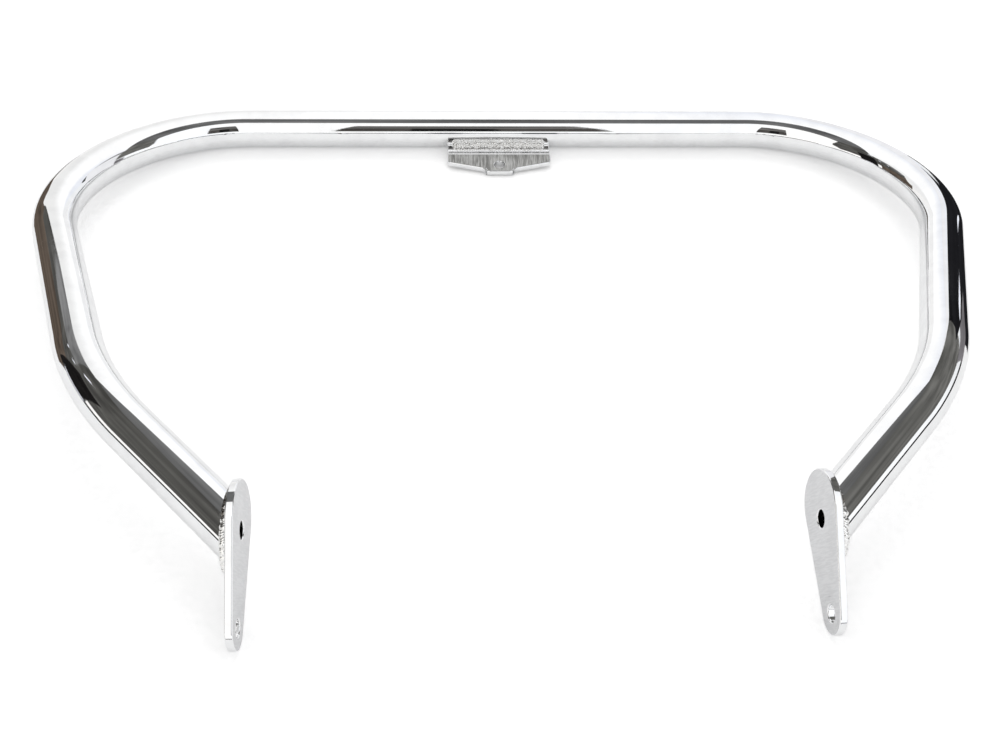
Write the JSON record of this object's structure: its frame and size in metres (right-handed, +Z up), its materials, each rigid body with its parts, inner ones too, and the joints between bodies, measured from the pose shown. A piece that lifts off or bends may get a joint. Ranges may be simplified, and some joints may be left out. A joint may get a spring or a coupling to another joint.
{
  "type": "motorcycle crash bar",
  "caption": "Chromed tube arch that bolts to a motorcycle's frame in front of the engine, with a flat drilled tab on each end and a drilled bracket under the middle.",
  "frame": {"origin": "middle of the footprint on the ground, with the bar lying on the top bar's underside and the tips of its two tabs", "axes": "+X across the bar to its right end, +Y away from the viewer towards the top bar, +Z up from the ground"},
  "size_m": [0.724, 0.5276, 0.068],
  "materials": {
    "tube_chrome": "polished chrome plate",
    "plate_chrome": "chrome over ground steel plate, slightly satin",
    "weld_chrome": "chrome over a rough weld bead"
  },
  "bodies": {
    "root": {"guard_tube": "tube_chrome", "left_tab": "plate_chrome", "right_tab": "plate_chrome", "center_bracket": "plate_chrome", "left_tab_weld": "weld_chrome", "right_tab_weld": "weld_chrome", "bracket_weld": "weld_chrome"}
  },
  "joints": []
}
